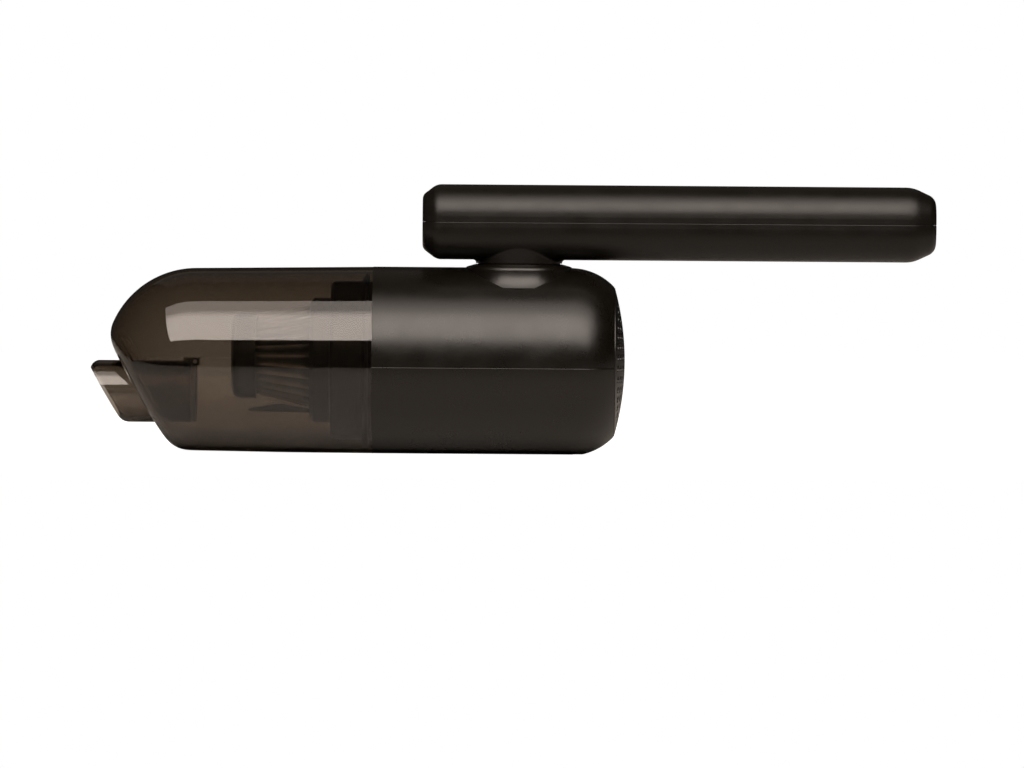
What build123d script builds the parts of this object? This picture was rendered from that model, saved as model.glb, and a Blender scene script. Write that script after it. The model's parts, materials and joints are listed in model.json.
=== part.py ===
from build123d import *
import math
import os

# Handheld vacuum. Millimetres. +Z up, +X towards the handle's free end, nozzle at -X.
# Origin: on the flat underside, straight below the swivel axis of the handle.

# --- driving dimensions -------------------------------------------------------------------------
AXIS_Z = 36.0  # height of the body's long axis
BODY_R = 36.6  # outside radius of the motor body
WALL = 2.2  # wall of body, bin and handle shells
SEAM_X = -56.7  # joint between the bin and the body
SHOULDER_X = 20.3  # where the rear shoulder begins
REAR_X = 37.2  # rear edge of the shoulder
SHOULDER_ARC = 23.3  # radius of the rear shoulder
PARTING_Z = 34.1  # joint between the two body shells
PLAY = 0.3  # gap between pieces that move apart

BIN_FRONT_X = -125.5  # centre of the bin's round nose
BIN_SEAM_R = 36.5
BIN_NOSE_R = 35.6
FACE_TILT = 30.0  # slant of the bin's front face from upright
FACE_DISTANCE = 25.6  # from the nose's centre to the slanted face
FACE_ROUNDING = 11.0

NOZZLE_Z = 23.4
NOZZLE_R = 12.05
NOZZLE_BORE_R = 10.0
NOZZLE_TIP_X = -166.4
DUCT_END_X = -127.4
PIN_X = -125.8
PIN_Z = 35.2
PIN_R = 0.8

FILTER_RISE = 1.6  # the cap and the pleats sit this much above the body's axis
FILTER_TIP_X = -111.5
FILTER_CAP_END_X = -102.2
FILTER_CAP_R = 16.5
PLEAT_END_X = -81.1
PLEAT_END_R = 20.0
PLEATS = 28
FILTER_BASE_R = 24.3
COLLAR_FRONT_X = -72.9
COLLAR_R = 30.9
COLLAR_BORE_R = 20.0

FAN_X = -43.0  # front face of the fan
FAN_R = 24.0
BLADES = 9
HOUSING_R = 30.0
MOTOR_FRONT_X = -27.0
MOTOR_END_X = 10.0
MOTOR_R = 18.2
SHAFT_R = 1.6

GRILLE_R = 29.0
GRILLE_RISE = 4.0
GRILLE_T = 2.0

BOSS_R = 21.2  # radius of the body's boss under its sloping rim
BOSS_FOOT_R = 23.6
SEAM_R = 16.8  # radius of the swivel seam
SEAM_Z = 74.1  # height of the swivel seam
HANDLE_BOSS_BLEND = 1.25  # rounding where the handle's foot meets its underside
PIVOT_R = 9.0
PIVOT_HOLE_R = 9.06
PIVOT_BORE_R = 6.0

HANDLE_Z = 90.3  # height of the handle's long axis and of its joint line
HANDLE_H = 29.2
HANDLE_W = 40.0
HANDLE_FRONT_X = -37.6
HANDLE_REAR_X = 162.0
HANDLE_CORNER = 12.5

CELL_R = 9.2
CELL_LENGTH = 65.2
CELL_START_X = 17.0
CELL_GAP = 1.4

BUTTON_X = 1.0

SEAM_GAP = 0.04  # gap left along the joint lines of the housings
LIP = 1.2  # height of the tongue that lines up the two halves of each housing
EDGE = 0.3  # rounding along the lower half of each joint line


# --- helpers ------------------------------------------------------------------------------------
def save(name, shape):
    export_step(shape, f"parts/{name}.step")


def along_x(radius, x0, x1, y=0.0, z=AXIS_Z):
    """A solid round bar along X from x0 to x1."""
    bar = Cylinder(radius, x1 - x0, align=(Align.CENTER, Align.CENTER, Align.MIN))
    return Pos(x0, y, z) * Rot(0, 90, 0) * bar


def ring_x(outer, inner, x0, x1, y=0.0, z=AXIS_Z):
    return along_x(outer, x0, x1, y, z) - along_x(inner, x0 - 1, x1 + 1, y, z)


def upright(radius, z0, z1, x=0.0, y=0.0):
    bar = Cylinder(radius, z1 - z0, align=(Align.CENTER, Align.CENTER, Align.MIN))
    return Pos(x, y, z0) * bar


def block(x0, x1, y0, y1, z0, z1):
    size = Box(x1 - x0, y1 - y0, z1 - z0)
    return Pos((x0 + x1) / 2, (y0 + y1) / 2, (z0 + z1) / 2) * size


def turned(points):
    """Revolve a closed outline of (x, radius) points about the body's long axis."""
    outline = Polyline(*[(x, 0, r) for x, r in points], close=True)
    solid = revolve(make_face(outline), axis=Axis.X, revolution_arc=360)
    return Pos(0, 0, AXIS_Z) * solid


def round_body(inset=0.0):
    """The round motor body as one solid, with its rear shoulder, set in by inset."""
    r = BODY_R - inset
    arc = SHOULDER_ARC - inset
    centre_r = BODY_R - SHOULDER_ARC
    reach = REAR_X - SHOULDER_X
    end_r = centre_r + math.sqrt(arc**2 - reach**2)
    middle = math.asin(reach / arc) / 2
    bend = (SHOULDER_X + arc * math.sin(middle), 0, centre_r + arc * math.cos(middle))
    start = (SHOULDER_X, 0, r)
    end = (SHOULDER_X + reach, 0, end_r)
    outline = [
        Line((SEAM_X, 0, 0), (SEAM_X, 0, r)),
        Line((SEAM_X, 0, r), start),
        ThreePointArc(start, bend, end),
        Line(end, (end[0], 0, 0)),
        Line((end[0], 0, 0), (SEAM_X, 0, 0)),
    ]
    solid = revolve(make_face(Wire(outline)), axis=Axis.X, revolution_arc=360)
    return Pos(0, 0, AXIS_Z) * solid


def screw_down(x, y, z_head, length, head_r=2.6, shank_r=1.4):
    """A pan-head screw driven upwards, its head at the bottom, with a cross recess."""
    head = upright(head_r, z_head, z_head + 1.8, x, y)
    shank = upright(shank_r, z_head + 1.8, z_head + length, x, y)
    slot_a = block(x - 1.5, x + 1.5, y - 0.3, y + 0.3, z_head - 1, z_head + 0.9)
    slot_b = block(x - 0.3, x + 0.3, y - 1.5, y + 1.5, z_head - 1, z_head + 0.9)
    return head + shank - slot_a - slot_b


# --- motor body ---------------------------------------------------------------------------------
SCREW_X = 24.0
SCREW_Y = 6.0
SCREW_HEAD_Z = 6.0
BOSS_FLOOR_Z = 69.4


def body_boss():
    """Round boss on top of the body, with a rim that slopes up to the seam and sides that flare out."""
    top = SEAM_Z - 0.1
    outline = [
        Line((0, 0, 56), (0, 0, top)),
        Line((0, 0, top), (SEAM_R, 0, top)),
        Line((SEAM_R, 0, top), (BOSS_R - 1.6, 0, 73.2)),
        ThreePointArc((BOSS_R - 1.6, 0, 73.2), (BOSS_R - 0.5, 0, 72.6), (BOSS_R, 0, 71.4)),
        ThreePointArc((BOSS_R, 0, 71.4), (BOSS_R + 0.6, 0, 68.0), (BOSS_FOOT_R - 0.2, 0, 64.8)),
        Line((BOSS_FOOT_R - 0.2, 0, 64.8), (BOSS_FOOT_R, 0, 56)),
        Line((BOSS_FOOT_R, 0, 56), (0, 0, 56)),
    ]
    return revolve(make_face(Wire(outline)), axis=Axis.Z, revolution_arc=360)


def body_hull():
    """Both body shells as one piece, before they are parted."""
    boss = body_boss()
    outside = round_body() + boss
    inside = round_body(WALL) - upright(BOSS_R - WALL, BOSS_FLOOR_Z, 80)
    mouth = along_x(BODY_R - WALL, SEAM_X - 5, SEAM_X + 5)
    rear_mouth = along_x(GRILLE_R + 0.1, REAR_X - 6, REAR_X + 5)
    floor_cut = block(-200, 200, -60, 60, -20, 0)
    hull = outside - inside - mouth - rear_mouth - floor_cut
    hull += ring_x(BODY_R - 1.0, BODY_R - WALL - 2.0, SEAM_X + 6.5, SEAM_X + 8.5)
    hull += ring_x(BODY_R - 1.2, 19.0, 4.0, 6.0) - rear_windows()
    hull += ring_x(GRILLE_R + 2.4, GRILLE_R - 4.5, REAR_X - 8, REAR_X - 6)
    hull -= upright(PIVOT_HOLE_R, 60, 80)
    hull -= upright(14.5, 58, BOSS_FLOOR_Z)
    return hull & (round_body() + boss)


def rear_windows():
    """Air windows through the rib that carries the rear motor mount."""
    windows = [
        Pos(0, 0, AXIS_Z) * Rot(60 * i, 0, 0) * block(0, 10, -8, 8, 22.5, 31.5)
        for i in range(6)
    ]
    return Compound(windows)


def body_tongue(inset, height):
    """Band of the wall's inner half that stands up past the joint line."""
    band = round_body(inset) - round_body(WALL)
    return band & block(SEAM_X + 0.4, SHOULDER_X + 6, -60, 60, PARTING_Z - 0.3, PARTING_Z + height)


def body_upper_shell():
    hull = body_hull() & block(-200, 200, -60, 60, PARTING_Z, 120)
    hull -= body_tongue(1.1, LIP + 0.15)
    for side in (-1, 1):
        hull += upright(3.4, PARTING_Z, 80, SCREW_X, SCREW_Y * side) & round_body()
        hull -= upright(1.45, PARTING_Z - 1, 42, SCREW_X, SCREW_Y * side)
    recess = upright(SEAM_R - 0.6, SEAM_Z - 1.1, SEAM_Z + 1)
    return hull - recess


def body_lower_shell():
    outside = round_body() & block(-200, 200, -60, 60, -20, PARTING_Z - SEAM_GAP)
    top = outside.faces().sort_by(Axis.Z)[-1]
    sides = top.edges().filter_by(lambda e: e.bounding_box().max.X - e.bounding_box().min.X > 1)
    hull = body_hull() & fillet(sides, EDGE)
    hull += body_tongue(1.2, LIP)
    keep = round_body() & block(-200, 200, -60, 60, 0, PARTING_Z - SEAM_GAP)
    for side in (-1, 1):
        post = upright(4.2, 0, PARTING_Z - SEAM_GAP, SCREW_X, SCREW_Y * side) & keep
        hull += post
        hull -= upright(2.8, -5, SCREW_HEAD_Z + 1.8, SCREW_X, SCREW_Y * side)
        hull -= upright(1.6, 0, 40, SCREW_X, SCREW_Y * side)
    return hull


def body_screws():
    return Compound([screw_down(SCREW_X, SCREW_Y * side, SCREW_HEAD_Z, 34.0) for side in (-1, 1)])


def inlet_collar():
    """Front collar: the bin pushes over it, and the filter pushes into its bore."""
    collar = turned(
        [
            (COLLAR_FRONT_X, COLLAR_BORE_R),
            (COLLAR_FRONT_X, COLLAR_R - 1.2),
            (COLLAR_FRONT_X + 1.2, COLLAR_R),
            (SEAM_X + 0.4, COLLAR_R),
            (SEAM_X + 0.4, BODY_R - WALL),
            (SEAM_X + 6.5, BODY_R - WALL),
            (SEAM_X + 6.5, COLLAR_R - 2.4),
            (COLLAR_FRONT_X + 2.4, COLLAR_R - 2.4),
            (COLLAR_FRONT_X + 2.4, COLLAR_BORE_R + 2.0),
            (COLLAR_FRONT_X + 9.0, COLLAR_BORE_R + 2.0),
            (COLLAR_FRONT_X + 9.0, COLLAR_BORE_R),
        ]
    )
    collar -= ring_x(COLLAR_R + 1, COLLAR_R - 1.0, SEAM_X - 4.0, SEAM_X - 1.6)
    spokes = [
        Pos(0, 0, AXIS_Z) * Rot(60 * i, 0, 0) * block(SEAM_X + 3, SEAM_X + 5, -0.9, 0.9, 10.5, 29.5)
        for i in range(6)
    ]
    guard = Compound(spokes) + ring_x(12.0, 10.0, SEAM_X + 3, SEAM_X + 5)
    return collar + guard


def bin_seal():
    """Rubber lip ring in the collar's groove."""
    return turned(
        [
            (SEAM_X - 4.0, COLLAR_R - 1.0),
            (SEAM_X - 4.0, COLLAR_R + 0.8),
            (SEAM_X - 2.6, BIN_SEAM_R - WALL - 0.35),
            (SEAM_X - 1.6, BIN_SEAM_R - WALL - 0.35),
            (SEAM_X - 1.6, COLLAR_R - 1.0),
        ]
    )


def fan_gasket():
    return ring_x(COLLAR_R - 2.5, 22.0, SEAM_X + 6.5, FAN_X - 4.0)


# --- fan and motor ------------------------------------------------------------------------------
def fan_cover():
    """Cup in front of the fan, with the fan's eye in its middle."""
    front = FAN_X - 4.0
    cup = turned(
        [
            (front, 12.0),
            (front, HOUSING_R),
            (MOTOR_FRONT_X - 3.0, HOUSING_R),
            (MOTOR_FRONT_X - 3.0, HOUSING_R - 1.6),
            (front + 2.0, HOUSING_R - 1.6),
            (front + 2.0, 13.4),
            (front + 3.2, 13.4),
            (front + 3.2, 12.0),
        ]
    )
    return cup


def diffuser_plate():
    """Plate behind the fan that carries the motor, with guide vanes and air slots at its rim."""
    plate = ring_x(HOUSING_R - 1.7, 5.0, MOTOR_FRONT_X - 4.0, MOTOR_FRONT_X - 2.0)
    slot = block(MOTOR_FRONT_X - 5, MOTOR_FRONT_X - 1, -4.2, 4.2, 21.5, 26.5)
    plate -= Compound([Pos(0, 0, AXIS_Z) * Rot(30 * i, 0, 0) * slot for i in range(12)])
    vanes = [
        Pos(0, 0, AXIS_Z) * Rot(30 * i + 15, 0, 0) * vane_block(MOTOR_FRONT_X - 4.0)
        for i in range(12)
    ]
    plate += Compound(vanes)
    plate += ring_x(HOUSING_R + 4.2, HOUSING_R - 1.7, MOTOR_FRONT_X - 3.0, MOTOR_FRONT_X - 1.0)
    for side in (-1, 1):
        plate -= along_x(1.3, MOTOR_FRONT_X - 6, MOTOR_FRONT_X, 11.0 * side)
    return plate + ring_x(MOTOR_R + 1.6, MOTOR_R, MOTOR_FRONT_X - 2.0, MOTOR_FRONT_X + 4.0)


def vane_block(x):
    return block(x - 2.0, x, -0.6, 0.6, 21.0, HOUSING_R - 2.0)


def motor_screws():
    screws = []
    for side in (-1, 1):
        head = along_x(2.2, MOTOR_FRONT_X - 5.4, MOTOR_FRONT_X - 4.0, 11.0 * side)
        shank = along_x(1.2, MOTOR_FRONT_X - 4.0, MOTOR_FRONT_X + 1.0, 11.0 * side)
        slot = block(MOTOR_FRONT_X - 6, MOTOR_FRONT_X - 4.8, -1.5, 1.5, -0.3, 0.3)
        screws.append(head + shank - Pos(0, 11.0 * side, AXIS_Z) * slot)
    return Compound(screws)


def motor_can():
    can = along_x(MOTOR_R, MOTOR_FRONT_X - 2.0, MOTOR_END_X - 7.0)
    can -= along_x(MOTOR_R - 1.2, MOTOR_FRONT_X - 0.8, MOTOR_END_X)
    can -= along_x(4.0, MOTOR_FRONT_X - 3, MOTOR_FRONT_X)
    for side in (-1, 1):
        can -= along_x(1.25, MOTOR_FRONT_X - 3, MOTOR_FRONT_X, 11.0 * side)
    slot = block(MOTOR_FRONT_X - 3, MOTOR_FRONT_X, -3.2, 3.2, 8.0, 13.0)
    return can - Compound([Pos(0, 0, AXIS_Z) * Rot(90 * i + 45, 0, 0) * slot for i in range(4)])


def motor_magnets():
    """Two arc magnets stuck inside the can."""
    ring = ring_x(MOTOR_R - 1.2, 14.4, MOTOR_FRONT_X + 3.0, MOTOR_END_X - 10.0)
    gap = block(MOTOR_FRONT_X, MOTOR_END_X, -40, 40, AXIS_Z - 5, AXIS_Z + 5)
    return ring - gap


def motor_endbell():
    """Plastic rear end of the motor, with the brush boxes."""
    x0 = MOTOR_END_X - 7.0
    bell = turned(
        [
            (x0, MOTOR_R - 1.3),
            (x0, MOTOR_R),
            (MOTOR_END_X - 2.0, MOTOR_R),
            (MOTOR_END_X, MOTOR_R - 2.0),
            (MOTOR_END_X, 4.0),
            (MOTOR_END_X - 2.0, 4.0),
            (MOTOR_END_X - 2.0, MOTOR_R - 1.3),
        ]
    )
    for side in (-1, 1):
        box = block(MOTOR_END_X - 8.0, MOTOR_END_X - 1.9, -4.8, 4.8, -3.4, 3.4)
        hole = block(MOTOR_END_X - 7.0, MOTOR_END_X - 3.0, -6.0, 6.0, -2.0, 2.0)
        bell += Pos(0, 10.4 * side, AXIS_Z) * (box - hole)
    return bell


def carbon_brushes():
    brush = block(MOTOR_END_X - 7.0, MOTOR_END_X - 3.0, -3.85, 3.85, -2.0, 2.0)
    return Compound([Pos(0, 9.15 * side, AXIS_Z) * brush for side in (-1, 1)])


def front_bearing():
    return ring_x(4.0, SHAFT_R + 0.03, MOTOR_FRONT_X - 2.0, MOTOR_FRONT_X + 0.6)


def rear_bearing():
    return ring_x(4.0, SHAFT_R + 0.03, MOTOR_END_X - 2.0, MOTOR_END_X + 1.0)


def motor_rear_mount():
    """Rubber ring with lugs that holds the motor's rear end in the shells' rib."""
    ring = ring_x(19.0, MOTOR_R, MOTOR_END_X - 7.0, MOTOR_END_X - 3.0)
    return ring + ring_x(21.0, MOTOR_R, MOTOR_END_X - 4.0, MOTOR_END_X - 2.4)


def motor_shaft():
    return along_x(SHAFT_R, FAN_X - 2.5, MOTOR_END_X + 2.5)


def impeller():
    """Fan with a rear disc, a front ring and curved blades between them."""
    rear = FAN_X + 9.0
    disc = ring_x(FAN_R, SHAFT_R, rear - 1.2, rear)
    hub = ring_x(4.2, SHAFT_R, FAN_X, rear)
    shroud = turned([(FAN_X, 11.5), (FAN_X + 3.5, FAN_R), (FAN_X + 4.5, FAN_R), (FAN_X + 1.0, 11.5)])
    wheel = disc + hub + shroud
    cone = turned([(FAN_X + 0.5, 0), (FAN_X + 0.5, 11.5), (FAN_X + 4.0, FAN_R), (rear, FAN_R), (rear, 0)])
    start = (0, 0, 6.0)
    bend = (0, 4.0, 14.5)
    end = (0, 12.5, 20.0)
    path = ThreePointArc(start, bend, end)
    strip = Pos(FAN_X, 0, 0) * extrude(make_face(offset_strip(path, 0.5)), amount=9.0, dir=(1, 0, 0))
    blades = [(Pos(0, 0, AXIS_Z) * Rot(360 / BLADES * i, 0, 0) * strip) & cone for i in range(BLADES)]
    for blade in blades:
        wheel += blade
    return wheel


def offset_strip(path, half):
    """Closed outline of a strip of even thickness along an arc in the YZ plane."""
    edges = []
    ends = []
    for side in (-1, 1):
        points = []
        for t in (0.0, 0.5, 1.0):
            p = path @ t
            d = path % t
            points.append((0, p.Y - side * half * d.Z, p.Z + side * half * d.Y))
        edges.append(ThreePointArc(*points))
        ends.append((points[0], points[2]))
    edges.append(Line(ends[0][0], ends[1][0]))
    edges.append(Line(ends[0][1], ends[1][1]))
    return Wire(edges)


def armature():
    """Laminated core with five poles."""
    core = ring_x(13.8, SHAFT_R, MOTOR_FRONT_X + 5.0, MOTOR_END_X - 14.0)
    slot = block(MOTOR_FRONT_X, MOTOR_END_X, -3.4, 3.4, 6.5, 11.8)
    slot += block(MOTOR_FRONT_X, MOTOR_END_X, -1.2, 1.2, 10, 15)
    return core - Compound([Pos(0, 0, AXIS_Z) * Rot(72 * i, 0, 0) * slot for i in range(5)])


def armature_windings():
    """Copper coils that fill the slots and stand out at both ends of the core."""
    x0 = MOTOR_FRONT_X + 2.6
    x1 = MOTOR_END_X - 11.6
    coils = [
        Pos(0, 0, AXIS_Z) * Rot(72 * i, 0, 0) * block(x0, x1, -3.2, 3.2, 6.7, 11.4)
        for i in range(5)
    ]
    heads = ring_x(11.0, 5.0, x0, x0 + 2.2) + ring_x(11.0, 5.0, x1 - 2.2, x1)
    group = heads
    for coil in coils:
        group += coil
    return group


def commutator():
    drum = ring_x(5.0, SHAFT_R, MOTOR_END_X - 10.0, MOTOR_END_X - 2.6)
    cuts = [
        Pos(0, 0, AXIS_Z) * Rot(72 * i, 0, 0) * block(MOTOR_END_X - 8.0, MOTOR_END_X, -0.25, 0.25, 3.6, 6)
        for i in range(5)
    ]
    return drum - Compound(cuts)


def motor_leads():
    """Two wires from the end bell up towards the swivel."""
    wires = []
    for side in (-1, 1):
        y = 5.0 * side
        path = FilletPolyline(
            (MOTOR_END_X, y, AXIS_Z + 9),
            (16, y, AXIS_Z + 9),
            (16, y * 0.8, 60),
            (4, y * 0.5, 62),
            (1, y * 0.5, 68),
            radius=2.6,
        )
        section = Plane(origin=path @ 0, z_dir=path % 0) * Circle(0.9)
        wires.append(sweep(section, path=path))
    return Compound(wires)


# --- exhaust ------------------------------------------------------------------------------------
HOLE_RINGS = [(4.6, 6), (8.6, 12), (12.6, 18), (16.6, 24), (20.6, 30), (24.6, 36)]
HOLE_R = 1.35


def exhaust_foam():
    return along_x(GRILLE_R - 2.2, REAR_X - 5.9, REAR_X - 2.2)


def exhaust_grille():
    """Domed grille with rings of round holes and a plain rim."""
    sphere_r = (GRILLE_R**2 + GRILLE_RISE**2) / (2 * GRILLE_RISE)
    apex = REAR_X + 0.3 + GRILLE_RISE
    centre = apex - sphere_r
    inner_r = GRILLE_R - 2.0
    inner_x = centre + math.sqrt((sphere_r - GRILLE_T) ** 2 - inner_r**2)
    half_turn = math.asin(GRILLE_R / sphere_r) / 2
    outer_bend = (centre + sphere_r * math.cos(half_turn), 0, sphere_r * math.sin(half_turn))
    inner_turn = math.asin(inner_r / (sphere_r - GRILLE_T)) / 2
    inner_bend_x = centre + (sphere_r - GRILLE_T) * math.cos(inner_turn)
    inner_bend = (inner_bend_x, 0, (sphere_r - GRILLE_T) * math.sin(inner_turn))
    outline = [
        Line((apex - GRILLE_T, 0, 0), (apex, 0, 0)),
        ThreePointArc((apex, 0, 0), outer_bend, (REAR_X + 0.3, 0, GRILLE_R)),
        Line((REAR_X + 0.3, 0, GRILLE_R), (REAR_X - 5.9, 0, GRILLE_R)),
        Line((REAR_X - 5.9, 0, GRILLE_R), (REAR_X - 5.9, 0, inner_r)),
        Line((REAR_X - 5.9, 0, inner_r), (inner_x, 0, inner_r)),
        ThreePointArc((inner_x, 0, inner_r), inner_bend, (apex - GRILLE_T, 0, 0)),
    ]
    dome = Pos(0, 0, AXIS_Z) * revolve(make_face(Wire(outline)), axis=Axis.X, revolution_arc=360)
    for radius, count in HOLE_RINGS:
        holes = []
        for i in range(count):
            turn = 2 * math.pi * (i + 0.5) / count
            y = radius * math.cos(turn)
            z = AXIS_Z + radius * math.sin(turn)
            holes.append(along_x(HOLE_R, REAR_X - 5, REAR_X + 10, y, z))
        dome -= Compound(holes)
    return dome - along_x(HOLE_R, REAR_X - 5, REAR_X + 10)


# --- dust bin -----------------------------------------------------------------------------------
def bin_nose(inset):
    """Round nose with a slanted flat and a wide rounding between them, turned about the flat's axis."""
    r = BIN_NOSE_R - inset
    flat = FACE_DISTANCE - inset
    rounding = FACE_ROUNDING - inset
    along = flat - rounding
    out = math.sqrt((r - rounding) ** 2 - along**2)
    scale = r / (r - rounding)
    meet = (-along * scale, 0, out * scale)
    middle = (math.pi / 2 + math.atan2(out, along)) / 2
    corner = math.atan2(out, along) / 2
    bend = (-along - rounding * math.cos(corner), 0, out + rounding * math.sin(corner))
    outline = [
        Line((0, 0, 0), (-flat, 0, 0)),
        Line((-flat, 0, 0), (-flat, 0, out)),
        ThreePointArc((-flat, 0, out), bend, meet),
        ThreePointArc(meet, (-r * math.cos(middle), 0, r * math.sin(middle)), (0, 0, r)),
        ThreePointArc((0, 0, r), (r * math.sin(math.pi / 4), 0, r * math.cos(math.pi / 4)), (r, 0, 0)),
        Line((r, 0, 0), (0, 0, 0)),
    ]
    ball = revolve(make_face(Wire(outline)), axis=Axis.X, revolution_arc=360)
    ball = Pos(BIN_FRONT_X, 0, AXIS_Z) * Rot(0, -FACE_TILT, 0) * ball
    return ball & block(-300, BIN_FRONT_X, -60, 60, -60, 120)


def bin_solid(inset):
    """Slightly tapered round bin with its nose, set in by inset."""
    barrel = turned(
        [
            (BIN_FRONT_X, 0),
            (BIN_FRONT_X, BIN_NOSE_R - inset),
            (SEAM_X, BIN_SEAM_R - inset),
            (SEAM_X, 0),
        ]
    )
    return barrel + bin_nose(inset)


def bin_shell():
    shell = bin_solid(0) - bin_solid(WALL)
    shell -= block(-200, 200, -60, 60, -20, 0)
    shell -= along_x(NOZZLE_R, -200, -100, 0, NOZZLE_Z) & block(-200, -135, -30, 30, 0, 60)
    return shell


def inlet_nozzle():
    """Round tube with a slanted mouth, lugs for the flap's pin at its inner end."""
    tube = ring_x(NOZZLE_R, NOZZLE_BORE_R, NOZZLE_TIP_X - 5, DUCT_END_X, 0, NOZZLE_Z)
    cutter = Box(100, 80, 200, align=(Align.MAX, Align.CENTER, Align.CENTER))
    top = NOZZLE_Z + NOZZLE_R
    cutter = Pos(NOZZLE_TIP_X - 1.6, 0, top) * Rot(0, -FACE_TILT, 0) * cutter
    tube -= cutter
    corner = Pos(NOZZLE_TIP_X + 3.2, 0, top - 3.2)
    round_off = block(NOZZLE_TIP_X - 6, NOZZLE_TIP_X + 3.2, -15, 15, top - 3.2, top + 2)
    tube -= round_off - corner * Rot(90, 0, 0) * Cylinder(3.2, 40)
    low_x = NOZZLE_TIP_X - 1.6 + 2 * NOZZLE_R * math.tan(math.radians(FACE_TILT))
    low_z = NOZZLE_Z - NOZZLE_R
    corner = Pos(low_x + 2.9, 0, low_z + 5.0)
    round_off = block(low_x - 4, low_x + 2.9, -15, 15, low_z - 1, low_z + 2.5)
    tube -= round_off - corner * Rot(90, 0, 0) * Cylinder(5.0, 40)
    for y0 in (-6.0, 4.5):
        lug = block(DUCT_END_X - 3.0, DUCT_END_X, y0, y0 + 1.5, NOZZLE_Z + 9.0, PIN_Z + 1.0)
        arm = block(DUCT_END_X - 3.0, PIN_X + 1.5, y0, y0 + 1.5, PIN_Z - 1.5, PIN_Z + 1.4)
        lug += arm
        lug -= Pos(PIN_X, 0, PIN_Z) * Rot(90, 0, 0) * Cylinder(PIN_R, 30)
        lug -= along_x(NOZZLE_BORE_R + 0.1, -140, -120, 0, NOZZLE_Z)
        tube += lug
    return tube


def flap_pin():
    return Pos(PIN_X, 0, PIN_Z) * Rot(90, 0, 0) * Cylinder(PIN_R, 12.4)


def inlet_flap():
    """Round flap that hangs from its pin and covers the inner end of the tube."""
    x0 = DUCT_END_X + 0.3
    disc = along_x(NOZZLE_R - 0.3, x0, x0 + 1.6, 0, NOZZLE_Z)
    disc -= block(x0 - 1, x0 + 3, -6.4, 6.4, PIN_Z - 1.9, PIN_Z + 2)
    ear = block(x0, x0 + 1.6, -3.9, 3.9, NOZZLE_Z + 6, PIN_Z - 0.2)
    barrel = Pos(PIN_X, 0, PIN_Z) * Rot(90, 0, 0) * Cylinder(1.5, 7.8)
    hole = Pos(PIN_X, 0, PIN_Z) * Rot(90, 0, 0) * Cylinder(PIN_R + 0.05, 20)
    return disc + ear + barrel - hole


# --- filter -------------------------------------------------------------------------------------
FILTER_PLUG_R = COLLAR_BORE_R - 0.9


def filter_cap():
    cap = turned(
        [
            (FILTER_TIP_X, 0),
            (FILTER_TIP_X, FILTER_CAP_R - 3.0),
            (FILTER_TIP_X + 0.9, FILTER_CAP_R - 0.9),
            (FILTER_TIP_X + 3.0, FILTER_CAP_R),
            (FILTER_CAP_END_X, FILTER_CAP_R),
            (FILTER_CAP_END_X, FILTER_CAP_R - 1.6),
            (FILTER_TIP_X + 3.0, FILTER_CAP_R - 1.6),
            (FILTER_TIP_X + 2.0, 0),
        ]
    )
    return Pos(0, 0, FILTER_RISE) * cap


def star(x, outer, inner):
    """Closed star-shaped section of the pleats at one place along X."""
    points = []
    for i in range(2 * PLEATS):
        turn = math.pi * i / PLEATS
        r = outer if i % 2 == 0 else inner
        points.append((x, r * math.cos(turn), AXIS_Z + r * math.sin(turn)))
    return make_face(Polyline(*points, close=True))


def filter_pleats():
    """Cone of folded paper round the filter's cage."""
    x0 = FILTER_CAP_END_X - 1.5
    x1 = PLEAT_END_X
    outside = loft([star(x0, FILTER_CAP_R - 2.1, 12.0), star(x1, PLEAT_END_R, 14.6)], ruled=True)
    hollow = turned([(x0 - 1, 0), (x0 - 1, 10.6), (x1 + 1, 12.9), (x1 + 1, 0)])
    return Pos(0, 0, FILTER_RISE) * (outside - hollow)


def filter_frame():
    """Inner cage, base ring, plug and the tongue under the pleats."""
    cage = turned(
        [
            (FILTER_CAP_END_X - 5.0, 8.8),
            (FILTER_CAP_END_X - 5.0, 10.4),
            (PLEAT_END_X, 12.6),
            (PLEAT_END_X, 11.0),
        ]
    )
    windows = [
        Pos(0, 0, AXIS_Z) * Rot(45 * i, 0, 0) * block(x, x + 4.0, -2.4, 2.4, 5, 16)
        for i in range(8)
        for x in (-103.0, -97.0, -91.0, -85.8)
    ]
    cage = Pos(0, 0, FILTER_RISE) * (cage - Compound(windows))
    base = turned(
        [
            (PLEAT_END_X, 11.0),
            (PLEAT_END_X, FILTER_BASE_R - 1.6),
            (PLEAT_END_X + 1.6, FILTER_BASE_R),
            (COLLAR_FRONT_X - 0.4, FILTER_BASE_R),
            (COLLAR_FRONT_X - 0.4, FILTER_PLUG_R),
            (COLLAR_FRONT_X + 8.0, FILTER_PLUG_R),
            (COLLAR_FRONT_X + 8.0, FILTER_PLUG_R - 1.8),
            (PLEAT_END_X + 2.0, FILTER_PLUG_R - 1.8),
            (PLEAT_END_X + 2.0, 11.0),
        ]
    )
    base -= ring_x(FILTER_PLUG_R + 1, FILTER_PLUG_R - 0.9, COLLAR_FRONT_X + 2.5, COLLAR_FRONT_X + 5.0)
    side = Polyline(
        (-105.0, 0, 16.0),
        (-105.0, 0, 17.1),
        (-93.5, 0, 19.0),
        (PLEAT_END_X, 0, 17.2),
        (PLEAT_END_X + 2, 0, 17.2),
        (PLEAT_END_X + 2, 0, 15.6),
        close=True,
    )
    tongue = Pos(0, 4.0, 0) * extrude(make_face(side), amount=8.0, dir=(0, -1, 0))
    return cage + base + tongue


def filter_seal():
    """Rubber ring in the plug's groove."""
    middle = COLLAR_FRONT_X + 3.75
    return ring_x(COLLAR_BORE_R - 0.35, FILTER_PLUG_R - 0.9, middle - 1.25, middle + 1.25)


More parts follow.
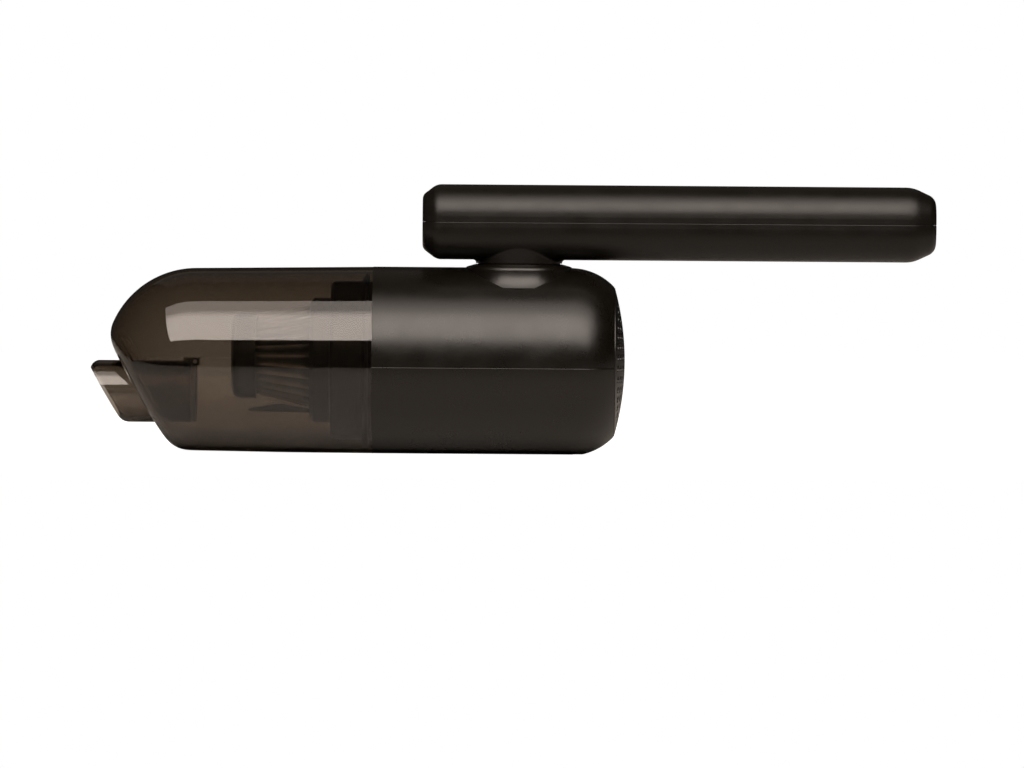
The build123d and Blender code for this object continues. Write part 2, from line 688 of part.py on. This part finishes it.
# --- handle -------------------------------------------------------------------------------------
def handle_end(bar, way, along, across, soft, hard):
    """Slope one end of the grip all round, then round both edges of the slope."""
    end = bar.faces().sort_by(Axis.X)[-1 if way > 0 else 0]
    end_x = end.center().X
    bar = chamfer(end.edges(), length=across, length2=along, reference=end)
    for x, radius in ((end_x, hard), (end_x - way * along, soft)):
        loop = [e for e in bar.edges() if lies_at(e.bounding_box(), x)]
        bar = fillet(loop, radius)
    return bar


def lies_at(box, x):
    return abs(box.min.X - x) + abs(box.max.X - x) < 0.02


def handle_solid(inset=0.0):
    """The whole grip as one rounded bar, set in by inset."""
    width = HANDLE_W - 2 * inset
    height = HANDLE_H - 2 * inset
    corner = HANDLE_CORNER - inset
    section = Plane.YZ * RectangleRounded(width, height, corner)
    bar = extrude(section, amount=HANDLE_REAR_X - HANDLE_FRONT_X - 2 * inset)
    bar = Pos(HANDLE_FRONT_X + inset, 0, HANDLE_Z) * bar
    bar = handle_end(bar, 1, 9.0, 4.2, 12.0 - inset, 4.5 - inset)
    return handle_end(bar, -1, 5.5, 4.2, 5.5 - inset, 3.0 - inset)


def handle_outside():
    """The grip with its round foot, blended into the underside."""
    foot = upright(SEAM_R, SEAM_Z + 0.2, HANDLE_Z)
    solid = handle_solid() + foot
    joint = solid.edges().filter_by(joins_foot)
    return fillet(joint, HANDLE_BOSS_BLEND)


def joins_foot(edge):
    """True for the edges where the foot meets the grip's underside."""
    box = edge.bounding_box()
    near = abs(edge.center(CenterOf.BOUNDING_BOX).X) < SEAM_R + 1
    return near and box.max.X - box.min.X < 2 * SEAM_R + 1 and SEAM_Z + 0.5 < box.min.Z < HANDLE_Z - 4


def swivel_tube():
    """Flanged tube, fixed in the handle's floor, that turns in the body's boss."""
    tube = upright(PIVOT_R, 63.6, FLOOR_Z) + upright(11.0, FLOOR_Z, FLOOR_Z + 1.4)
    groove = upright(PIVOT_R + 1, 64.6, 66.0) - upright(PIVOT_R - 0.8, 60, 70)
    return tube - groove - upright(PIVOT_BORE_R, 60, 90)


HANDLE_SCREWS = [(-28.0, 6.0), (-28.0, -6.0)]
BOARD_POSTS = [(-22.0, 0.0), (12.0, 8.0), (12.0, -8.0)]
BOARD_Z = 94.0
HANDLE_HEAD_Z = 80.0
FLOOR_Z = HANDLE_Z - HANDLE_H / 2 + WALL


def handle_tongue(inset, height):
    """Band of the wall's inner half that stands up past the joint line."""
    band = handle_solid(inset) - handle_solid(WALL)
    return band & block(-60, 200, -40, 40, HANDLE_Z - 0.3, HANDLE_Z + height)


def handle_upper_shell():
    hull = handle_solid() - handle_solid(WALL)
    hull &= block(-60, 200, -40, 40, HANDLE_Z, 120)
    hull -= handle_tongue(1.1, LIP + 0.15)
    for x, y in HANDLE_SCREWS:
        hull += upright(3.0, HANDLE_Z, 104, x, y) & handle_solid()
        hull -= upright(1.45, HANDLE_Z - 1, 99, x, y)
    hull -= button_opening()
    hull -= upright(1.6, 100, 110, BUTTON_X - 19.0)
    return hull


def button_opening():
    slot = Pos(BUTTON_X, 0, 100) * extrude(SlotOverall(22.6, 11.6), amount=10)
    return slot


def handle_lower_shell():
    outside = handle_outside() & block(-60, 200, -40, 40, 60, HANDLE_Z - SEAM_GAP)
    top = outside.faces().sort_by(Axis.Z)[-1]
    hull = fillet(top.edges(), EDGE) - handle_solid(WALL)
    hull += handle_tongue(1.2, LIP)
    hull += upright(SEAM_R - 0.8, SEAM_Z - 0.8, SEAM_Z + 0.4) - upright(14.2, 60, 82)
    hull -= upright(PIVOT_R + 0.01, 60, 82)
    for x, y in BOARD_POSTS:
        hull += upright(1.8, FLOOR_Z - 1, BOARD_Z, x, y)
    for x, y in HANDLE_SCREWS:
        hull += upright(3.6, 70, HANDLE_Z - SEAM_GAP, x, y) & handle_solid()
        hull -= upright(2.8, 70, HANDLE_HEAD_Z + 1.8, x, y)
        hull -= upright(1.6, 70, HANDLE_Z + 1, x, y)
    return hull


def handle_screws():
    return Compound([screw_down(x, y, HANDLE_HEAD_Z, 18.0) for x, y in HANDLE_SCREWS])


def swivel_washer():
    """Low-friction ring in the recess of the body's boss."""
    return upright(13.9, SEAM_Z - 1.1, SEAM_Z - 0.15) - upright(PIVOT_HOLE_R + 0.3, 70, 80)


def swivel_retainer():
    """Ring under the body's boss that keeps the pivot tube from lifting out."""
    return upright(13.0, 66.0, BOSS_FLOOR_Z - PLAY) - upright(PIVOT_R + 0.01, 60, 80)


def swivel_clip():
    """Wire clip in the pivot tube's groove, under the retainer."""
    return upright(10.6, 64.7, 65.9) - upright(PIVOT_R - 0.8, 60, 80)


def battery_cell(x0):
    can = along_x(CELL_R, x0, x0 + CELL_LENGTH - 1.4, 0, HANDLE_Z)
    groove = ring_x(CELL_R + 1, CELL_R - 0.6, x0 + CELL_LENGTH - 4.4, x0 + CELL_LENGTH - 3.6, 0, HANDLE_Z)
    button = along_x(3.2, x0 + CELL_LENGTH - 1.4, x0 + CELL_LENGTH, 0, HANDLE_Z)
    return can - groove + button


def rear_cell_x():
    return CELL_START_X + CELL_LENGTH + CELL_GAP


def battery_straps():
    """Nickel strips: one joins the cells, one sits at each end."""
    joint_x = CELL_START_X + CELL_LENGTH
    end_x = rear_cell_x() + CELL_LENGTH
    plates = [
        block(CELL_START_X - 0.3, CELL_START_X, -3.5, 3.5, HANDLE_Z - 6, HANDLE_Z + 9),
        block(joint_x, joint_x + CELL_GAP, -3.5, 3.5, HANDLE_Z - 6, HANDLE_Z + 6),
        block(end_x, end_x + 0.3, -3.5, 3.5, HANDLE_Z - 6, HANDLE_Z + 9),
    ]
    return Compound(plates)


def battery_holder():
    """Cradle under both cells, with three ribs."""
    x0 = CELL_START_X + 4
    x1 = rear_cell_x() + CELL_LENGTH - 6
    tray = block(x0, x1, -9.0, 9.0, FLOOR_Z + 0.05, HANDLE_Z - 4) & handle_solid(2.25)
    return tray - along_x(CELL_R + 0.05, x0 - 5, x1 + 5, 0, HANDLE_Z)


def control_board():
    """Circuit board with its parts, over the swivel."""
    board = block(-24.0, 14.0, -12.0, 12.0, BOARD_Z, BOARD_Z + 1.6)
    parts = [
        block(-20, -14, -9, -3, 95.6, 96.8),
        block(-20, -16, 3, 9, 95.6, 97.4),
        block(-10, -7, -10, -7, 95.6, 96.4),
        block(8, 12, 5, 10, 95.6, 97.0),
        block(8, 12, -10, -6, 95.6, 96.6),
        upright(2.6, 86.0, BOARD_Z, 2, -7),
        upright(1.2, 95.6, 96.6, BUTTON_X - 19.0, 0),
    ]
    for item in parts:
        board += item
    return board


def tact_switch():
    body = block(BUTTON_X - 3, BUTTON_X + 3, -3, 3, 95.6, 97.4)
    return body + upright(1.6, 97.4, 98.2, BUTTON_X)


def power_button():
    """Long key with a flange that keeps it under the handle's top."""
    top_z = HANDLE_Z + HANDLE_H / 2 - 0.15
    key = Pos(BUTTON_X, 0, 99.6) * extrude(SlotOverall(21.8, 10.8), amount=top_z - 99.6)
    key = fillet(key.faces().sort_by(Axis.Z)[-1].edges(), 0.8)
    flange = Pos(BUTTON_X, 0, 99.6) * extrude(SlotOverall(25.0, 14.0), amount=2.4)
    key += flange
    dish = Pos(BUTTON_X, 0, top_z + 39.2) * Sphere(40)
    return key - dish


def button_spring():
    coil = Helix(pitch=0.85, height=3.4, radius=4.9, center=(BUTTON_X, 0, 95.9))
    section = Plane(origin=coil @ 0, z_dir=coil % 0) * Circle(0.24)
    return sweep(section, path=coil)


def light_pipe():
    return upright(1.5, 97.2, HANDLE_Z + HANDLE_H / 2 - 0.1, BUTTON_X - 19.0)


def charge_board():
    return block(151.8, 159.6, -6.0, 6.0, 84.6, 86.0)


def usb_socket():
    """Charging socket, its mouth flush with the handle's end."""
    mouth = Plane.YZ * SlotOverall(8.9, 3.2)
    hollow = Plane.YZ * SlotOverall(8.2, 2.5)
    shell = extrude(mouth, amount=7.6) - Pos(1.0, 0, 0) * extrude(hollow, amount=8)
    shell += block(1.0, 6.0, -3.2, 3.2, -0.35, 0.35)
    return Pos(HANDLE_REAR_X - 7.8, 0, 87.6) * shell


def socket_hole():
    hole = Plane.YZ * SlotOverall(9.0, 3.3)
    return Pos(HANDLE_REAR_X - 9, 0, 87.6) * extrude(hole, amount=12)


# --- write every piece --------------------------------------------------------------------------
def main():
    os.makedirs("parts", exist_ok=True)
    save("body_upper_shell", body_upper_shell())
    save("body_lower_shell", body_lower_shell())
    save("body_screws", body_screws())
    save("inlet_collar", inlet_collar())
    save("bin_seal", bin_seal())
    save("fan_gasket", fan_gasket())
    save("fan_cover", fan_cover())
    save("diffuser_plate", diffuser_plate())
    save("motor_screws", motor_screws())
    save("motor_can", motor_can())
    save("motor_magnets", motor_magnets())
    save("motor_endbell", motor_endbell())
    save("carbon_brushes", carbon_brushes())
    save("front_bearing", front_bearing())
    save("rear_bearing", rear_bearing())
    save("motor_rear_mount", motor_rear_mount())
    save("motor_shaft", motor_shaft())
    save("impeller", impeller())
    save("armature", armature())
    save("armature_windings", armature_windings())
    save("commutator", commutator())
    save("motor_leads", motor_leads())
    save("exhaust_foam", exhaust_foam())
    save("exhaust_grille", exhaust_grille())
    save("bin_shell", bin_shell())
    save("inlet_nozzle", inlet_nozzle())
    save("flap_pin", flap_pin())
    save("inlet_flap", inlet_flap())
    save("filter_cap", filter_cap())
    save("filter_pleats", filter_pleats())
    save("filter_frame", filter_frame())
    save("filter_seal", filter_seal())
    save("handle_upper_shell", handle_upper_shell())
    save("handle_lower_shell", handle_lower_shell() - socket_hole())
    save("handle_screws", handle_screws())
    save("swivel_tube", swivel_tube())
    save("swivel_washer", swivel_washer())
    save("swivel_retainer", swivel_retainer())
    save("swivel_clip", swivel_clip())
    save("battery_cell_front", battery_cell(CELL_START_X))
    save("battery_cell_rear", battery_cell(rear_cell_x()))
    save("battery_straps", battery_straps())
    save("battery_holder", battery_holder())
    save("control_board", control_board())
    save("tact_switch", tact_switch())
    save("power_button", power_button())
    save("button_spring", button_spring())
    save("light_pipe", light_pipe())
    save("charge_board", charge_board())
    save("usb_socket", usb_socket())


main()
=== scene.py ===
"""A handheld vacuum: round matt black motor body, smoked clear dust bin, battery handle on a swivel."""

import json
import math

import bpy
from mathutils import Matrix, Vector


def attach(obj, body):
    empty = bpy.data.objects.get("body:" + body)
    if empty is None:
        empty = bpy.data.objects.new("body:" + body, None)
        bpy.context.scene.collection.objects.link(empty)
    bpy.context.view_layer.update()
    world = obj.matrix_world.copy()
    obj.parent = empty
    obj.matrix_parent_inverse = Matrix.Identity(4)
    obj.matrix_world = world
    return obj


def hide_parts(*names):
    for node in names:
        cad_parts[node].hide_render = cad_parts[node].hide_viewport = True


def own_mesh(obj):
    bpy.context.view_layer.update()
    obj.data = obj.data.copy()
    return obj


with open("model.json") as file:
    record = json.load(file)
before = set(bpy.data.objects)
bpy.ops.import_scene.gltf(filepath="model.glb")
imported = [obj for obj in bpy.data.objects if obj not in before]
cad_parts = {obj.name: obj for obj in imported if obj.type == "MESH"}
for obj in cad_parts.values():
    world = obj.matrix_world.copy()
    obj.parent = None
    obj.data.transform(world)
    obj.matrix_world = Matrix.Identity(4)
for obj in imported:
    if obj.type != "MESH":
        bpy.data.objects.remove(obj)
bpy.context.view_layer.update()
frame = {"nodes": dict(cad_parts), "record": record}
nodes = frame["nodes"]

MM = 0.001
BODY_AXIS_Z = 36.0 * MM


# --- node helpers ---------------------------------------------------------------------------------
class Shader:
    """A new material with a Principled shader, and short names for the nodes that feed it."""

    def __init__(self, name):
        self.material = bpy.data.materials.new(name)
        self.material.use_nodes = True
        self.tree = self.material.node_tree
        self.surface = self.tree.nodes["Principled BSDF"]
        self.place = self.node("ShaderNodeTexCoord").outputs["Object"]

    def node(self, kind, **settings):
        made = self.tree.nodes.new(kind)
        for key, value in settings.items():
            setattr(made, key, value)
        return made

    def link(self, source, target):
        self.tree.links.new(source, target)

    def set(self, **values):
        for key, value in values.items():
            self.surface.inputs[key.replace("_", " ")].default_value = value
        return self

    def noise(self, size, detail=3.0, stretch=(1, 1, 1), roughness=0.5):
        """Noise from 0 to 1 whose blobs are about size metres across."""
        scaled = self.node("ShaderNodeMapping")
        scaled.inputs["Scale"].default_value = [s / size for s in stretch]
        self.link(self.place, scaled.inputs["Vector"])
        made = self.node("ShaderNodeTexNoise")
        made.inputs["Scale"].default_value = 1.0
        made.inputs["Detail"].default_value = detail
        made.inputs["Roughness"].default_value = roughness
        self.link(scaled.outputs["Vector"], made.inputs["Vector"])
        return made.outputs["Fac"]

    def cells(self, size):
        """Distance to the nearest of many points about size metres apart."""
        scaled = self.node("ShaderNodeMapping")
        scaled.inputs["Scale"].default_value = [1 / size] * 3
        self.link(self.place, scaled.inputs["Vector"])
        made = self.node("ShaderNodeTexVoronoi")
        made.inputs["Scale"].default_value = 1.0
        self.link(scaled.outputs["Vector"], made.inputs["Vector"])
        return made.outputs["Distance"]

    def spread(self, value, low, high, start=0.0, end=1.0):
        """Map value from start..end to low..high."""
        made = self.node("ShaderNodeMapRange")
        made.inputs["From Min"].default_value = start
        made.inputs["From Max"].default_value = end
        made.inputs["To Min"].default_value = low
        made.inputs["To Max"].default_value = high
        self.link(value, made.inputs["Value"])
        return made.outputs["Result"]

    def mix(self, amount, first, second):
        """Colour between first and second; each is a colour or an output."""
        made = self.node("ShaderNodeMix", data_type="RGBA")
        self.link(amount, made.inputs["Factor"])
        for value, socket in ((first, made.inputs["A"]), (second, made.inputs["B"])):
            if isinstance(value, bpy.types.NodeSocket):
                self.link(value, socket)
            else:
                socket.default_value = (*value, 1)
        return made.outputs["Result"]

    def edges(self, radius, start=0.02, end=0.25):
        """0 on open surfaces and 1 on sharp edges, by how far a rounded normal turns."""
        rounded = self.node("ShaderNodeBevel", samples=4)
        rounded.inputs["Radius"].default_value = radius
        plain = self.node("ShaderNodeNewGeometry")
        turn = self.node("ShaderNodeVectorMath", operation="DOT_PRODUCT")
        self.link(rounded.outputs["Normal"], turn.inputs[0])
        self.link(plain.outputs["Normal"], turn.inputs[1])
        return self.spread(turn.outputs["Value"], 1.0, 0.0, 1 - end, 1 - start)

    def bump(self, height, depth, strength=1.0):
        made = self.node("ShaderNodeBump")
        made.inputs["Strength"].default_value = strength
        made.inputs["Distance"].default_value = depth
        self.link(height, made.inputs["Height"])
        self.link(made.outputs["Normal"], self.surface.inputs["Normal"])
        return self


# --- materials ------------------------------------------------------------------------------------
def moulded_plastic(name, colour, rough, gloss=0.4, grain=0.00045, depth=0.000012, edge_paling=0.5):
    """Moulded plastic with a fine spark-eroded grain, uneven gloss, and edges paled in patches: partly
    rubbing, partly a painted highlight.
    """
    s = Shader(name)
    s.set(Specular_IOR_Level=gloss)
    dark = [c * 0.8 for c in colour]
    patches = s.noise(0.03, detail=4)
    base = s.mix(s.spread(patches, 0, 1, 0.3, 0.7), dark, colour)
    # painted highlight along edges, mixed with rubbing: edges turn paler in noisy patches
    pale = [min(1.0, c * 3 + 0.012) for c in colour]
    edge_mask = s.edges(0.0006)
    rubbing_and_highlight_patches = s.spread(s.noise(0.004, detail=5), 0, edge_paling, 0.45, 0.75)
    both = s.node("ShaderNodeMath", operation="MULTIPLY")
    s.link(edge_mask, both.inputs[0])
    s.link(rubbing_and_highlight_patches, both.inputs[1])
    s.link(s.mix(both.outputs[0], base, pale), s.surface.inputs["Base Color"])
    uneven = s.spread(s.noise(0.012, detail=6), rough - 0.04, rough + 0.05, 0.3, 0.7)
    s.link(uneven, s.surface.inputs["Roughness"])
    s.bump(s.cells(grain), depth)
    return s.material


def smoked_plastic(name):
    """Polished smoked brown clear plastic: the tint grows with the length of wall the light crosses."""
    s = Shader(name)
    s.set(Base_Color=(1, 1, 1, 1), Transmission_Weight=1.0, IOR=1.49)
    s.link(s.spread(s.noise(0.006, detail=6), 0.0, 0.03, 0.45, 0.9), s.surface.inputs["Roughness"])
    s.bump(s.noise(0.02, detail=1), 0.00002, 0.35)
    inside = s.node("ShaderNodeVolumeAbsorption")
    inside.inputs["Color"].default_value = (0.40, 0.33, 0.245, 1)
    inside.inputs["Density"].default_value = 1060.0
    s.link(inside.outputs[0], s.tree.nodes["Material Output"].inputs["Volume"])
    return s.material


def clear_plastic(name):
    s = Shader(name)
    s.set(Base_Color=(0.85, 0.85, 0.83, 1), Transmission_Weight=1.0, IOR=1.49)
    s.link(s.spread(s.noise(0.002), 0.08, 0.25, 0.3, 0.7), s.surface.inputs["Roughness"])
    s.bump(s.noise(0.0008), 0.00001)
    return s.material


def rubber(name, colour, rough=0.62):
    s = Shader(name)
    dark = [c * 0.75 for c in colour]
    s.link(s.mix(s.noise(0.005, detail=5), dark, colour), s.surface.inputs["Base Color"])
    uneven = s.spread(s.noise(0.003, detail=5), rough - 0.08, rough + 0.1, 0.3, 0.7)
    s.link(uneven, s.surface.inputs["Roughness"])
    s.bump(s.noise(0.0006, detail=6), 0.00002)
    return s.material


def metal(name, colour, rough, brushed=(1, 1, 1), size=0.0008):
    s = Shader(name)
    s.set(Metallic=1.0)
    streaks = s.noise(size, detail=4, stretch=brushed)
    stains = s.noise(0.006, detail=4)
    s.link(s.mix(stains, [c * 0.8 for c in colour], colour), s.surface.inputs["Base Color"])
    s.link(s.spread(streaks, rough - 0.08, rough + 0.12, 0.3, 0.7), s.surface.inputs["Roughness"])
    s.bump(streaks, 0.000008)
    return s.material


def filter_paper(name):
    """Fibrous paper, pale on the ridges of its folds and darkened in the valleys by painted shade from
    ambient occlusion, in a dark grey varied by a dust noise.
    """
    s = Shader(name)
    fibres = s.noise(0.0006, detail=8, roughness=0.7)
    paper_colour = s.mix(fibres, (0.50, 0.47, 0.42), (0.78, 0.75, 0.69))
    # painted shade: ambient occlusion darkens the fold valleys, where shade falls
    open_air = s.node("ShaderNodeAmbientOcclusion", samples=8)
    open_air.inputs["Distance"].default_value = 0.004
    dust = s.spread(s.noise(0.006, detail=5), 0, 1, 0.35, 0.75)
    dust_and_painted_shade = s.mix(dust, (0.10, 0.09, 0.075), (0.17, 0.15, 0.13))
    ridges = s.spread(open_air.outputs["AO"], 0, 1, 0.45, 0.8)
    s.link(s.mix(ridges, dust_and_painted_shade, paper_colour), s.surface.inputs["Base Color"])
    s.set(Roughness=0.92, Sheen_Weight=0.25)
    s.bump(fibres, 0.00004)
    return s.material


def foam(name):
    s = Shader(name)
    pores = s.cells(0.0011)
    # painted shade: the colour is darkest in the pits of the pores, where the bump sinks the surface
    s.link(s.mix(pores, (0.008, 0.008, 0.008), (0.07, 0.07, 0.068)), s.surface.inputs["Base Color"])
    s.set(Roughness=0.95)
    s.bump(pores, 0.0005)
    return s.material


def circuit_board(name):
    """Green solder mask with copper tracks showing through as paler runs."""
    s = Shader(name)
    tracks = s.spread(s.noise(0.0022, detail=0, stretch=(1, 0.25, 1)), 0, 1, 0.52, 0.54)
    s.link(s.mix(tracks, (0.008, 0.075, 0.03), (0.02, 0.15, 0.06)), s.surface.inputs["Base Color"])
    s.link(s.spread(s.noise(0.003), 0.22, 0.4, 0.3, 0.7), s.surface.inputs["Roughness"])
    s.bump(tracks, 0.00003)
    return s.material


def wrapped_cell(name):
    """Shrink film over a battery cell, with fine creases along it."""
    s = Shader(name)
    creases = s.noise(0.002, detail=5, stretch=(0.15, 1, 1))
    s.link(s.mix(s.noise(0.01), (0.02, 0.12, 0.32), (0.03, 0.17, 0.42)), s.surface.inputs["Base Color"])
    s.link(s.spread(creases, 0.2, 0.4, 0.3, 0.7), s.surface.inputs["Roughness"])
    s.bump(creases, 0.00006)
    return s.material


MATERIALS = {
    "black_plastic": moulded_plastic("black_plastic", (0.0026, 0.0020, 0.0012), 0.29, gloss=0.32, edge_paling=0.15),
    "handle_black": moulded_plastic("handle_black", (0.0026, 0.0020, 0.0012), 0.37, gloss=0.25, edge_paling=0.15),
    "dark_plastic": moulded_plastic("dark_plastic", (0.011, 0.0095, 0.008), 0.42, edge_paling=0.3),
    "button_black": moulded_plastic("button_black", (0.012, 0.012, 0.012), 0.34, grain=0.0003),
    "smoked_clear": smoked_plastic("smoked_clear"),
    "clear_plastic": clear_plastic("clear_plastic"),
    "white_plastic": moulded_plastic("white_plastic", (0.70, 0.69, 0.65), 0.42),
    "flap_grey": rubber("flap_grey", (0.20, 0.185, 0.17)),
    "filter_paper": filter_paper("filter_paper"),
    "foam": foam("foam"),
    "seal_rubber": rubber("seal_rubber", (0.018, 0.018, 0.018)),
    "screw_steel": metal("screw_steel", (0.55, 0.55, 0.56), 0.32),
    "motor_steel": metal("motor_steel", (0.50, 0.50, 0.50), 0.36, brushed=(0.1, 1, 1)),
    "magnet_grey": rubber("magnet_grey", (0.09, 0.09, 0.095), 0.7),
    "carbon": rubber("carbon", (0.03, 0.03, 0.03), 0.5),
    "bronze": metal("bronze", (0.50, 0.33, 0.18), 0.45),
    "copper": metal("copper", (0.72, 0.36, 0.2), 0.3, brushed=(1, 0.1, 0.1), size=0.0004),
    "lead_red": rubber("lead_red", (0.40, 0.02, 0.02), 0.4),
    "cell_wrap": wrapped_cell("cell_wrap"),
    "nickel": metal("nickel", (0.70, 0.68, 0.63), 0.24),
    "board_green": circuit_board("board_green"),
}


def dress_nodes():
    """Give every CAD node the material of its slot."""
    for part in frame["record"]["subparts"]:
        shown = nodes[part["node"]]
        for slot in shown.material_slots:
            slot.material = MATERIALS[part["material_slot"]]


dress_nodes()


def yielding_spring():
    """A visible copy of the button's spring, carried by the handle in place of the packed one."""
    packed = nodes["button_spring"]
    spring = bpy.data.objects.new("button_spring_coil", packed.data.copy())
    bpy.context.scene.collection.objects.link(spring)
    spring.matrix_world = packed.matrix_world.copy()
    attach(spring, "handle")
    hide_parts("button_spring")
    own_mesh(spring)


yielding_spring()


# --- camera, stage and light ------------------------------------------------------------------------
FRAME_WIDTH = 0.3995  # metres across the picture at the object
DISTANCE = 3.0
ELEVATION = math.radians(1.2)
ROLL = math.radians(0.42)
TARGET = Vector((-0.0024, 0, 0.0272))


def add_camera():
    data = bpy.data.cameras.new("camera")
    data.sensor_width = 36
    data.lens = data.sensor_width * DISTANCE / FRAME_WIDTH
    data.clip_end = 50
    camera = bpy.data.objects.new("camera", data)
    bpy.context.scene.collection.objects.link(camera)
    back = Vector((0, -math.cos(ELEVATION), math.sin(ELEVATION)))
    turn = back.to_track_quat("Z", "Y").to_matrix().to_4x4() @ Matrix.Rotation(ROLL, 4, "Z")
    camera.matrix_world = Matrix.Translation(TARGET + back * DISTANCE) @ turn
    bpy.context.scene.camera = camera


WARM = (1.0, 0.885, 0.80, 1.0)  # colour of the studio light


def glowing(name, strength, upper):
    """Warm emission, even over most of the panel and dimmer near its upper edge."""
    material = bpy.data.materials.new(name)
    material.use_nodes = True
    tree = material.node_tree
    tree.nodes.clear()
    glow = tree.nodes.new("ShaderNodeEmission")
    glow.inputs["Color"].default_value = WARM
    out = tree.nodes.new("ShaderNodeOutputMaterial")
    tree.links.new(glow.outputs[0], out.inputs[0])
    place = tree.nodes.new("ShaderNodeTexCoord")
    split = tree.nodes.new("ShaderNodeSeparateXYZ")
    ramp = tree.nodes.new("ShaderNodeMapRange")
    ramp.inputs["From Min"].default_value = 0.56
    ramp.inputs["From Max"].default_value = 0.74
    ramp.inputs["To Min"].default_value = strength
    ramp.inputs["To Max"].default_value = strength * upper
    tree.links.new(place.outputs["Generated"], split.inputs[0])
    tree.links.new(split.outputs["Y"], ramp.inputs["Value"])
    tree.links.new(ramp.outputs[0], glow.inputs["Strength"])
    return material


def soft_panel(name, azimuth, elevation, distance, width, height, strength, upper=1.0):
    """A glowing panel that faces the object and that the camera doesn't see."""
    mesh = bpy.data.meshes.new(name)
    w, h = width / 2, height / 2
    mesh.from_pydata([(-w, -h, 0), (w, -h, 0), (w, h, 0), (-w, h, 0)], [], [(0, 1, 2, 3)])
    mesh.materials.append(glowing(name, strength, upper))
    panel = bpy.data.objects.new(name, mesh)
    bpy.context.scene.collection.objects.link(panel)
    a, e = math.radians(azimuth), math.radians(elevation)
    towards = Vector((math.sin(a) * math.cos(e), -math.cos(a) * math.cos(e), math.sin(e)))
    turn = towards.to_track_quat("Z", "Y").to_matrix().to_4x4()
    panel.matrix_world = Matrix.Translation(Vector((0, 0, BODY_AXIS_Z)) + towards * distance) @ turn
    panel.visible_camera = False


def maths(tree, operation, first, second):
    """The result of a Math node; each value is a number or an output."""
    made = tree.nodes.new("ShaderNodeMath")
    made.operation = operation
    for value, socket in zip((first, second), made.inputs):
        if isinstance(value, bpy.types.NodeSocket):
            tree.links.new(value, socket)
        else:
            socket.default_value = value
    return made.outputs[0]


def by_view(tree, looked_at, through_plastic, otherwise):
    """A strength for the stage: as looked at, as seen through clear plastic, and for all other light."""
    path = tree.nodes.new("ShaderNodeLightPath").outputs
    unscattered = maths(tree, "LESS_THAN", path["Diffuse Depth"], 0.5)
    through = maths(tree, "MULTIPLY", path["Is Transmission Ray"], unscattered)
    best = maths(
        tree,
        "MAXIMUM",
        maths(tree, "MULTIPLY", path["Is Camera Ray"], looked_at),
        maths(tree, "MULTIPLY", through, through_plastic),
    )
    return maths(tree, "MAXIMUM", best, otherwise)


TABLE_FRONT_Y = -0.27
TABLE_BACK_Y = 2.2
TABLE_HALF_WIDTH = 1.6
TABLE_GAP = 0.0002  # how far the table top is below the underside
TABLE_FADE_Y = -0.06  # from here to the front edge the table's colour gets darker
TABLE_COLOUR = (0.50, 0.48, 0.455)
TABLE_FRONT_COLOUR = (0.17, 0.155, 0.14)
NEAR_SEEN_THROUGH = 0.22  # the table's strength as seen through clear plastic, near the object, dimmed as a painted shadow of the object


def pale_floor():
    """A pale table top, lifted to white where the camera sees it, darker in colour at its front edge, and
    dimmer near the object through clear plastic as a painted shadow.
    """
    mesh = bpy.data.meshes.new("floor")
    w = TABLE_HALF_WIDTH
    corners = [(-w, TABLE_FRONT_Y, 0), (w, TABLE_FRONT_Y, 0), (w, TABLE_BACK_Y, 0), (-w, TABLE_BACK_Y, 0)]
    mesh.from_pydata(corners, [], [(0, 1, 2, 3)])
    floor = bpy.data.objects.new("floor", mesh)
    bpy.context.scene.collection.objects.link(floor)
    floor.location.z = -TABLE_GAP
    s = Shader("floor")
    s.set(Roughness=0.9, Emission_Color=(1, 1, 1, 1))
    across = s.node("ShaderNodeSeparateXYZ")
    s.link(s.place, across.inputs[0])
    depth = across.outputs["Y"]
    away_from_edge = s.spread(depth, 0, 1, TABLE_FRONT_Y, TABLE_FADE_Y)
    s.link(s.mix(away_from_edge, TABLE_FRONT_COLOUR, TABLE_COLOUR), s.surface.inputs["Base Color"])
    # painted shadow: through clear plastic the table glows dim near the object and brighter further back
    seen_through_with_painted_shadow = s.spread(depth, NEAR_SEEN_THROUGH, 1.0, 0.05, 1.4)
    s.link(by_view(s.tree, 1.0, seen_through_with_painted_shadow, 0.0), s.surface.inputs["Emission Strength"])
    mesh.materials.append(s.material)


def white_surround(seen, unseen):
    """The room: white where the camera looks, also through clear plastic, and dim in reflections."""
    world = bpy.data.worlds.new("room")
    world.use_nodes = True
    tree = world.node_tree
    tree.nodes.clear()
    background = tree.nodes.new("ShaderNodeBackground")
    background.inputs["Color"].default_value = (1, 1, 1, 1)
    tree.links.new(by_view(tree, seen, seen, unseen), background.inputs["Strength"])
    out = tree.nodes.new("ShaderNodeOutputWorld")
    tree.links.new(background.outputs[0], out.inputs["Surface"])
    bpy.context.scene.world = world


def light_scene():
    white_surround(1.0, 0.015)
    soft_panel("key_panel", 0, 51.6, 1.0, 1.56, 1.0, 8.6, upper=0.36)
    soft_panel("back_panel", 180, 50, 1.3, 1.3, 0.8, 0.1)
    bpy.context.scene.view_settings.view_transform = "Standard"
    bpy.context.scene.view_settings.look = "None"


add_camera()
pale_floor()
light_scene()
